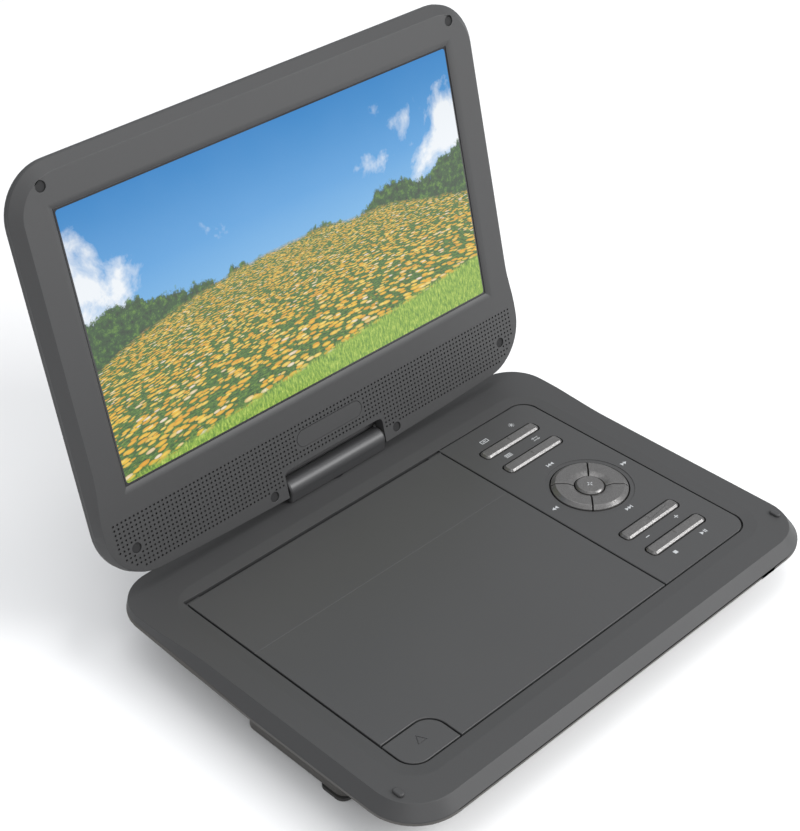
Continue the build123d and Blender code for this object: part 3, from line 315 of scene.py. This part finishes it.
def display(name):
    """Lit display that shows a summer meadow under a blue sky."""
    m = Nodes(name)
    down = SCREEN.col[1].to_3d()
    from_axis = m.vector("SUBTRACT", m.place, TILT_AXIS).outputs[0]
    below = m.vector("DOT_PRODUCT", from_axis, down).outputs["Value"]
    x = m.add("ShaderNodeSeparateXYZ", Vector=m.place).outputs[0]
    # u runs from -0.89 to 0.89 across, in picture heights, and v from 0 at the foot to 1 at the top
    u = m.math("MULTIPLY", x, 1 / PICTURE_H)
    foot, top = PICTURE_Y + PICTURE_H / 2, PICTURE_Y - PICTURE_H / 2
    v = m.span(below, foot, top, 0.0, 1.0)
    flat = m.joined(u, v)

    # sky with clouds near both sides
    sky = m.ramp(v, [(0.35, (0.26, 0.56, 0.86)), (0.7, (0.07, 0.33, 0.70)),
                     (1.0, (0.022, 0.23, 0.58))])
    puffs = m.noise(3.4, detail=8.0, roughness=0.58, vector=flat, distortion=0.3)
    side = m.span(m.math("ABSOLUTE", m.math("ADD", u, 0.02)), 0.35, 0.85, -0.16, 0.10)
    height = m.span(m.math("ABSOLUTE", m.math("SUBTRACT", v, 0.70)), 0.0, 0.28, 0.10, -0.12)
    cloud = m.span(m.math("ADD", m.math("ADD", puffs, side), height), 0.53, 0.66, 0.0, 1.0)
    picture = m.mix(cloud, sky, (0.86, 0.90, 0.94))

    # bushes behind the meadow
    ridge = m.noise(5.0, detail=6.0, roughness=0.6, vector=m.joined(u, 3.0))
    bush_top = m.math("ADD", m.math("MULTIPLY_ADD", ridge, 0.30, 0.40),
                      m.math("MULTIPLY", m.math("MULTIPLY", u, u), 0.10))
    leaf = m.noise(38.0, detail=6.0, roughness=0.75, vector=flat)
    ragged = m.math("ADD", bush_top, m.math("MULTIPLY_ADD", leaf, 0.09, -0.045))
    bushes = m.ramp(leaf, [(0.36, (0.004, 0.018, 0.003)), (0.52, (0.02, 0.085, 0.008)),
                           (0.66, (0.12, 0.26, 0.02))])
    picture = m.mix(m.below(ragged, v, 90.0), picture, bushes)

    # flower meadow, nearer flowers larger
    far = m.math("DIVIDE", 1.0, m.math("SUBTRACT", 0.74, v))
    ground = m.joined(m.math("MULTIPLY", u, far), m.math("MULTIPLY", far, 1.9))
    cells = m.add("ShaderNodeTexVoronoi", Scale=15.0, Vector=ground)
    pick = m.add("ShaderNodeSeparateColor", Color=cells.outputs["Color"])
    size = m.math("MULTIPLY_ADD", pick.outputs[0], 0.26, 0.38)
    petal = m.below(size, cells.outputs["Distance"], 12.0)
    stems = m.noise(30.0, detail=5.0, roughness=0.7, vector=ground)
    grass = m.ramp(stems, [(0.35, (0.01, 0.045, 0.004)), (0.5, (0.05, 0.14, 0.01)),
                           (0.68, (0.20, 0.36, 0.03))])
    flower = m.ramp(pick.outputs[1], [(0.0, (0.86, 0.42, 0.01)), (0.55, (0.93, 0.62, 0.03)),
                                      (0.86, (0.98, 0.80, 0.16)), (1.0, (0.9, 0.88, 0.8))])
    lit = m.mix(m.span(cells.outputs["Distance"], 0.0, 0.5, 0.0, 0.55), flower, (0.50, 0.20, 0.0))
    meadow = m.mix(petal, grass, lit)
    hill = m.math("ADD", m.math("MULTIPLY_ADD", m.math("MULTIPLY", u, u), -0.16, 0.56),
                  m.math("MULTIPLY_ADD", ridge, 0.06, -0.03))
    picture = m.mix(m.below(hill, v, 60.0), picture, meadow)

    # mown grass along the bottom
    blades = m.joined(m.math("MULTIPLY", u, 3.0), v)
    blade = m.noise(42.0, detail=6.0, roughness=0.7, vector=blades)
    lawn = m.ramp(blade, [(0.32, (0.05, 0.16, 0.01)), (0.5, (0.24, 0.42, 0.03)),
                          (0.7, (0.62, 0.74, 0.13))])
    lawn_top = m.math("ADD", m.math("MULTIPLY_ADD", u, 0.085, 0.10),
                      m.math("MULTIPLY_ADD", blade, 0.05, -0.025))
    picture = m.mix(m.below(lawn_top, v, 50.0), picture, lawn)

    # dark border with small round corners
    rim = BORDER + BORDER_R
    off_x = m.math("ABSOLUTE", x)
    off_y = m.math("ABSOLUTE", m.math("SUBTRACT", below, PICTURE_Y))
    edge_x = m.math("MAXIMUM", m.math("SUBTRACT", off_x, PICTURE_W / 2 - rim), 0.0)
    edge_y = m.math("MAXIMUM", m.math("SUBTRACT", off_y, PICTURE_H / 2 - rim), 0.0)
    from_edge = m.math("SQRT", m.math("ADD", m.math("MULTIPLY", edge_x, edge_x),
                                      m.math("MULTIPLY", edge_y, edge_y)))
    outside = m.math("GREATER_THAN", from_edge, BORDER_R)
    picture = m.mix(outside, picture, (0.004, 0.004, 0.005))

    m.feed(m.shader.inputs["Emission Color"], picture)
    m.shader.inputs["Emission Strength"].default_value = 0.92
    m.set(Base_Color=m.mix(m.noise(60.0), (0.008, 0.008, 0.009), (0.012, 0.012, 0.013)))
    m.set(Roughness=m.span(m.noise(30.0), 0.3, 0.7, 0.10, 0.16))
    return m.material


# ======== materials ========
CASE = moulded("case_plastic_grain", (0.034, 0.034, 0.0345), 0.54)
PANEL = moulded("panel_plastic_grain", (0.038, 0.038, 0.0385), 0.5, grain=0.22)
BELLY = moulded("belly_plastic_grain", (0.050, 0.047, 0.043), 0.5)
BARREL = moulded("barrel_plastic_satin", (0.034, 0.034, 0.035), 0.38, grain=0.2, depth=0.004)
BLACK = moulded("black_plastic_grain", (0.014, 0.014, 0.015), 0.45)
CHIP = moulded("chip_epoxy", (0.012, 0.012, 0.013), 0.5)
WRAP = moulded("battery_film", (0.02, 0.06, 0.17), 0.35)
KEYS = key_finish("key_paint", (0.115, 0.112, 0.11))
STEEL = metal("steel_brushed", (0.55, 0.55, 0.56), 0.32)
STEEL_TURNED = metal("steel_turned", (0.6, 0.6, 0.61), 0.25, brushed=False)
RUBBER = rubber("rubber_pebbled", (0.034, 0.033, 0.032))
PLUG = rubber("plug_rubber", (0.012, 0.012, 0.0125))
BOARD = board("board_mask")
WINDOW = window_gloss("infrared_gloss", (0.012, 0.005, 0.008))
LENS = window_gloss("lens_coating", (0.03, 0.04, 0.16))
INK = print_ink("print_ink", (0.40, 0.41, 0.42))
PICTURE = display("display_picture")

FINISH = {
    CASE: ["screen_rear_cover", "base_top_cover", "screen_bezel", "rest_bumps", "blank_plate"],
    PANEL: ["disc_lid", "open_button", "control_panel"],
    BELLY: ["base_bottom_cover", "battery_cover"],
    BARREL: ["hinge_barrel"],
    BLACK: ["disc_tray", "pickup_sled", "turntable", "headphone_jack", "av_jack", "power_jack",
            "card_slot", "power_switch", "swivel_bush", "lid_pins"],
    CHIP: ["board_chips", "key_switches", "speaker_left", "speaker_right"],
    WRAP: ["battery_pack"],
    KEYS: ["rocker_mode", "rocker_menu", "rocker_volume", "rocker_play", "pad_right", "pad_up",
           "pad_left", "pad_down", "ok_button"],
    STEEL: ["drive_chassis", "usb_socket", "hinge_brackets", "feed_motor"],
    STEEL_TURNED: ["spindle_motor", "guide_rails", "case_screws", "hub_balls",
                   "lead_screw", "swivel_shaft", "swivel_nut", "friction_sleeves", "tilt_pins",
                   "screen_screws"],
    RUBBER: ["drive_dampers", "rubber_feet"],
    PLUG: ["screw_plugs"],
    BOARD: ["key_board", "main_board", "driver_board"],
    WINDOW: ["infrared_window"],
    LENS: ["pickup_lens"],
    PICTURE: ["lcd_panel"],
}
BODY_OF = {node: body for body, members in frame["record"]["behaviour"]["bodies"].items()
           for node in members}
for material, names in FINISH.items():
    for name in names:
        node_object = NODES[name]
        if not node_object.material_slots:
            node_object.data.materials.append(material)
        for place_in_list in node_object.material_slots:
            place_in_list.material = material


# ======== mesh helpers ========
def show(name, mesh, material, body, replaced=()):
    """Make an object of a mesh, in the row frame, and let it ride on a body."""
    piece = add_object(name, mesh)
    if not mesh.materials:
        mesh.materials.append(material)
    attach(piece, body)
    if replaced:
        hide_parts(*replaced)
    return piece


def applied(piece):
    """Apply all the modifiers of a piece to its mesh."""
    evaluated = piece.evaluated_get(bpy.context.evaluated_depsgraph_get())
    made = bpy.data.meshes.new_from_object(evaluated)
    piece.modifiers.clear()
    piece.data = made
    return made


BEVEL_FROM = math.radians(28)  # edges sharper than this are rounded
SMOOTH_TO = math.radians(40)  # edges blunter than this are shaded smooth
SHALLOW = math.radians(9)  # a slope this small keeps a crisp edge against a level face
LEVEL = math.radians(0.3)
SAME_FACING = 0.004  # radians between faces that count as one flat region
IN_PLANE = 0.003 * MM
SLIVER = 0.004  # a face is a sliver when its area over its longest edge squared is less
NO_ANGLE = 3.0  # radians, stands for the angle to a face without a normal
AREA_POWER = 1.5  # how strongly large regions outweigh small ones at a shared corner
CLEAN_GAP = 0.001 * MM
CLEAN_ANGLE = math.radians(0.4)


def turn(a, b):
    """Angle between two normals."""
    return a.angle(b, NO_ANGLE)


def flat_shading(mesh, plane=None):
    """Corner normals that keep large flat faces flat, and round only the strips between them.

    Faces that lie in the plane, a (point, normal), take its normal whatever their shape.
    """
    work = bmesh.new()
    work.from_mesh(mesh)
    work.faces.ensure_lookup_table()
    up_axis = Vector((0, 0, 1))
    facing = [face.normal.copy() for face in work.faces]
    for face in work.faces:
        longest = max(face.edges, key=lambda edge: edge.calc_length())
        if face.calc_area() < SLIVER * longest.calc_length() ** 2:  # takes its neighbour's normal
            others = [other for other in longest.link_faces if other != face]
            if others:
                facing[face.index] = others[0].normal.copy()
    in_plane = set()
    if plane:
        for face in work.faces:
            if all(abs((vert.co - plane[0]).dot(plane[1])) < IN_PLANE for vert in face.verts):
                in_plane.add(face.index)
                facing[face.index] = plane[1].copy()
    level = [turn(normal, up_axis) < LEVEL for normal in facing]
    shallow = [turn(normal, up_axis) < SHALLOW for normal in facing]
    region = [-1] * len(work.faces)
    region_area = []
    for face in work.faces:
        if region[face.index] >= 0:
            continue
        number, total, queue = len(region_area), 0.0, [face]
        region[face.index] = number
        while queue:
            at = queue.pop()
            total += at.calc_area()
            for other in (near for edge in at.edges for near in edge.link_faces):
                if region[other.index] >= 0:
                    continue
                if turn(facing[other.index], facing[face.index]) < SAME_FACING:
                    region[other.index] = number
                    queue.append(other)
        region_area.append(total)
    normals = []
    for face in work.faces:
        for loop in face.loops:
            if face.index in in_plane:
                normals.append(plane[1])
                continue
            seen, queue = {face.index}, [face]
            while queue:
                at = queue.pop()
                edges = (edge for edge in at.edges if loop.vert in edge.verts)
                for other in (near for edge in edges for near in edge.link_faces):
                    here, there = at.index, other.index
                    if there in seen or turn(facing[there], facing[here]) > SMOOTH_TO:
                        continue
                    if level[here] != level[there] and shallow[here] and shallow[there]:
                        continue
                    seen.add(there)
                    queue.append(other)
            total, counted = Vector(), set()
            for index in seen:
                if region[index] not in counted:
                    counted.add(region[index])
                    total += facing[index] * region_area[region[index]] ** AREA_POWER
            normals.append(total.normalized() if total.length > 0 else facing[face.index])
    work.free()
    for polygon in mesh.polygons:
        polygon.use_smooth = True
    mesh.normals_split_custom_set(normals)


def clean_copy(node):
    """A CAD node's mesh with its corners joined and its flat faces whole."""
    work = bmesh.new()
    work.from_mesh(NODES[node].data)
    bmesh.ops.remove_doubles(work, verts=work.verts, dist=CLEAN_GAP)
    bmesh.ops.dissolve_limit(work, angle_limit=CLEAN_ANGLE, verts=work.verts, edges=work.edges)
    mesh = bpy.data.meshes.new(node + "_soft")
    work.to_mesh(mesh)
    work.free()
    mesh.materials.clear()
    mesh.materials.append(NODES[node].data.materials[0])
    for polygon in mesh.polygons:
        polygon.material_index = 0
    return mesh


def softened(node, radius, segments=2, cutter=None, plane=None):
    """A copy of a CAD node with its sharp edges rounded, which stands for the node.

    The radius is in millimetres. A cutter is an object whose shape is cut out of the copy.
    """
    piece = show(node + "_soft", clean_copy(node), None, BODY_OF[node], [node])
    bevel = piece.modifiers.new("edges", "BEVEL")
    bevel.width = radius * MM
    bevel.segments = segments
    bevel.limit_method = "ANGLE"
    bevel.angle_limit = BEVEL_FROM
    bevel.use_clamp_overlap = False
    bevel.miter_outer = "MITER_ARC"
    mesh = applied(piece)
    if cutter:
        holes = piece.modifiers.new("holes", "BOOLEAN")
        holes.operation = "DIFFERENCE"
        holes.solver = "EXACT"
        holes.object = cutter
        mesh = applied(piece)
        bpy.data.objects.remove(cutter)
    flat_shading(mesh, plane)


def prisms(name, outlines, matrix, low, high):
    """Mesh of upright prisms: each outline is a list of (x, y), stood on a plane of the matrix."""
    points, faces = [], []
    for outline in outlines:
        start, count = len(points), len(outline)
        points += [matrix @ Vector((x, y, z)) for z in (low, high) for x, y in outline]
        faces.append([start + i for i in reversed(range(count))])
        faces.append([start + count + i for i in range(count)])
        for i in range(count):
            j = (i + 1) % count
            faces.append([start + i, start + j, start + count + j, start + count + i])
    mesh = bpy.data.meshes.new(name)
    mesh.from_pydata(points, [], faces)
    return mesh


def ring_points(x, y, radius, count):
    """Regular polygon round a middle."""
    angles = [2 * math.pi * i / count for i in range(count)]
    return [(x + radius * math.cos(a), y + radius * math.sin(a)) for a in angles]


# ---- speaker holes: a square grid of fine holes in the foot of the bezel ----
# All in millimetres on the screen's axes.
HOLE_PITCH = 2.2
HOLE_R = 0.55
HOLE_SIDES = 10
HOLE_ABOVE, HOLE_DEPTH = 0.4, 0.9  # how far a hole's cutter stands out of the face and goes in
GRID_TOP_Y = -29.0
GRID_ROWS = 12
GRID_SIDE = 56  # columns on each side of the middle one
CORNER_X, CORNER_Y, CORNER_R = 103.7, -24.9, 22.1  # round end of the grid on both sides
WELL_PLACES = [(side * x, y) for x, y in ((114.7, -14.3), (39.05, -1.8)) for side in (-1, 1)]
WELL_CLEAR_R = 3.1
PLATE_Y, PLATE_CLEAR_X, PLATE_CLEAR_Y = -21.4, 21.5, 5.2  # round the blank plate
NOTCH_CLEAR_X, NOTCH_CLEAR_Y = 31.2, -11.5  # round the hinge notch


def hole_fits(x, y):
    """Whether the grid has a hole at a place on the bezel."""
    if abs(x) > CORNER_X and y > CORNER_Y:
        if math.hypot(abs(x) - CORNER_X, y - CORNER_Y) > CORNER_R:
            return False
    if any(math.hypot(x - wx, y - wy) < WELL_CLEAR_R for wx, wy in WELL_PLACES):
        return False
    if abs(x) < PLATE_CLEAR_X and abs(y - PLATE_Y) < PLATE_CLEAR_Y:
        return False
    return not (abs(x) < NOTCH_CLEAR_X and y > NOTCH_CLEAR_Y)


def in_metres(outline):
    """An outline given in millimetres, in metres."""
    return [(x * MM, y * MM) for x, y in outline]


hole_outlines = []
for column in range(-GRID_SIDE, GRID_SIDE + 1):
    for row in range(GRID_ROWS):
        hole_x, hole_y = HOLE_PITCH * column, GRID_TOP_Y + HOLE_PITCH * row
        if hole_fits(hole_x, hole_y):
            hole_outlines.append(in_metres(ring_points(hole_x, hole_y, HOLE_R, HOLE_SIDES)))
hole_mesh = prisms("speaker_holes", hole_outlines, SCREEN,
                   FACE_Z - HOLE_ABOVE * MM, FACE_Z + HOLE_DEPTH * MM)
hole_cutter = add_object("speaker_holes", hole_mesh)

# ---- softened edges; radii in millimetres ----
SOFT_EDGES = {
    "base_top_cover": 0.25,
    "base_bottom_cover": 0.3,
    "screen_bezel": 0.25,
    "screen_rear_cover": 0.5,
    "disc_lid": 0.12,
    "open_button": 0.12,
    "control_panel": 0.12,
    "hinge_barrel": 0.4,
}
KEY_RADIUS = 0.15
bezel_face = (SCREEN @ Vector((0, 0, FACE_Z)), -SCREEN.col[2].to_3d())
for name, radius in SOFT_EDGES.items():
    if name == "screen_bezel":
        softened(name, radius, cutter=hole_cutter, plane=bezel_face)
    else:
        softened(name, radius)
for name in FINISH[KEYS]:
    softened(name, KEY_RADIUS, segments=3)


# ======== printed marks, all generic ========
# In millimetres; x starts at the middle of the base and y at the middle of the recess.
def bar(x, y, width, height):
    """Upright rectangle round a middle."""
    return [(x - width / 2, y - height / 2), (x + width / 2, y - height / 2),
            (x + width / 2, y + height / 2), (x - width / 2, y + height / 2)]


def arrow(x, y, width, height):
    """Triangle that points right, or left where the width is negative."""
    outline = [(x - width / 2, y - height / 2), (x + width / 2, y), (x - width / 2, y + height / 2)]
    return outline if width > 0 else outline[::-1]


def frame_lines(x, y, width, height, line):
    """Four bars round a rectangle."""
    across, side = (height - line) / 2, (width - line) / 2
    return [bar(x, y + across, width, line), bar(x, y - across, width, line),
            bar(x - side, y, line, height - 2 * line), bar(x + side, y, line, height - 2 * line)]


def around(x, y, count, near, far, width):
    """Short rays round a middle."""
    corners = ((near, -width / 2), (far, -width / 2), (far, width / 2), (near, width / 2))
    rays = []
    for i in range(count):
        a = 2 * math.pi * i / count
        c, s = math.cos(a), math.sin(a)
        rays.append([(x + c * r - s * w, y + s * r + c * w) for r, w in corners])
    return rays


MARKS = {
    "skip_back": [bar(75.7, 24.2, 0.5, 2.0),
                  arrow(76.9, 24.2, -1.8, 2.0), arrow(78.7, 24.2, -1.8, 2.0)],
    "skip_ahead": [arrow(77.1, -23.4, 1.8, 2.0), arrow(78.9, -23.4, 1.8, 2.0),
                   bar(80.1, -23.4, 0.5, 2.0)],
    "rewind": [arrow(52.9, 0.2, -1.8, 2.2), arrow(54.7, 0.2, -1.8, 2.2)],
    "fast_ahead": [arrow(102.3, 0.2, 1.8, 2.2), arrow(104.1, 0.2, 1.8, 2.2)],
    "shape": frame_lines(69.1, 59.0, 4.8, 2.4, 0.4) + [bar(69.1, 59.0, 2.2, 0.5)],
    "light": [ring_points(88.4, 59.0, 0.6, 16)] + around(88.4, 59.0, 8, 0.95, 1.5, 0.35),
    "list": [bar(69.1, 43.1 + step, 4.2, 0.45) for step in (-0.9, 0.0, 0.9)],
    "settings": [bar(88.5, 43.1 + step, 4.2, 0.3) for step in (-0.8, 0.8)]
    + [bar(87.4, 43.9, 0.8, 1.1), bar(89.5, 42.3, 0.8, 1.1)],
    "less": [bar(68.0, -42.7, 2.4, 0.45)],
    "more": [bar(88.5, -42.7, 2.4, 0.45),
             bar(88.5, -42.02, 0.45, 0.91), bar(88.5, -43.38, 0.45, 0.91)],
    "stop": [bar(68.2, -58.4, 2.0, 2.0)],
    "play": [arrow(87.5, -58.4, 1.9, 2.2), bar(89.2, -58.4, 0.5, 2.0), bar(90.1, -58.4, 0.5, 2.0)],
}
INK_DEPTH = 0.04 * MM


def printed(name, outlines, origin, body):
    """Marks of ink that stand on a level face, with their own middle at the origin."""
    mesh = prisms(name, [in_metres(outline) for outline in outlines],
                  Matrix.Translation(origin), 0, INK_DEPTH)
    show(name, mesh, INK, body)


for mark_name, outlines in MARKS.items():
    printed("mark_" + mark_name, outlines, (0, RECESS_Y, PANEL_TOP), "base")
ok_mark = around(0, 0, 4, 0.5, 1.5, 0.5)
printed("mark_centre", ok_mark, (RING_X, RING_Y, RING_HIGH.z), "key_ok")


# ======== stage and lights ========
def area_light(name, where, towards, size, power):
    """Square area light; size in metres, power in watts."""
    data = bpy.data.lights.new(name, "AREA")
    data.shape = "RECTANGLE"
    data.size = data.size_y = size
    data.energy = power
    light = add_object(name, data)
    light.location = where
    light.rotation_euler = (Vector(towards) - Vector(where)).to_track_quat("-Z", "Y").to_euler()


FLOOR_HALF = 6.0
floor_mesh = bpy.data.meshes.new("floor")
floor_corners = [(x * FLOOR_HALF, y * FLOOR_HALF, 0) for x, y in ((-1, -1), (1, -1), (1, 1), (-1, 1))]
floor_mesh.from_pydata(floor_corners, [], [(0, 1, 2, 3)])
floor = add_object("floor", floor_mesh)
paper = Nodes("floor_paper")
paper.set(Base_Color=paper.mix(paper.noise(3.0), (0.80, 0.80, 0.80), (0.83, 0.83, 0.83)))
paper.set(Roughness=paper.span(paper.noise(60.0), 0.3, 0.7, 0.85, 0.95))
floor_mesh.materials.append(paper.material)

world = bpy.data.worlds.new("studio")
world.use_nodes = True
sky_light = world.node_tree.nodes["Background"]
sky_light.inputs["Color"].default_value = (0.95, 0.97, 1.0, 1)
sky_light.inputs["Strength"].default_value = 0.75
bpy.context.scene.world = world
area_light("key_light", (0.85, -1.1, 0.95), (0, 0, 0.03), 0.8, 24)
area_light("fill_light", (-0.9, -1.1, 1.1), (0, 0, 0.05), 1.1, 8)
area_light("top_light", (0.25, 0.1, 1.9), (0, 0, 0), 1.4, 13)
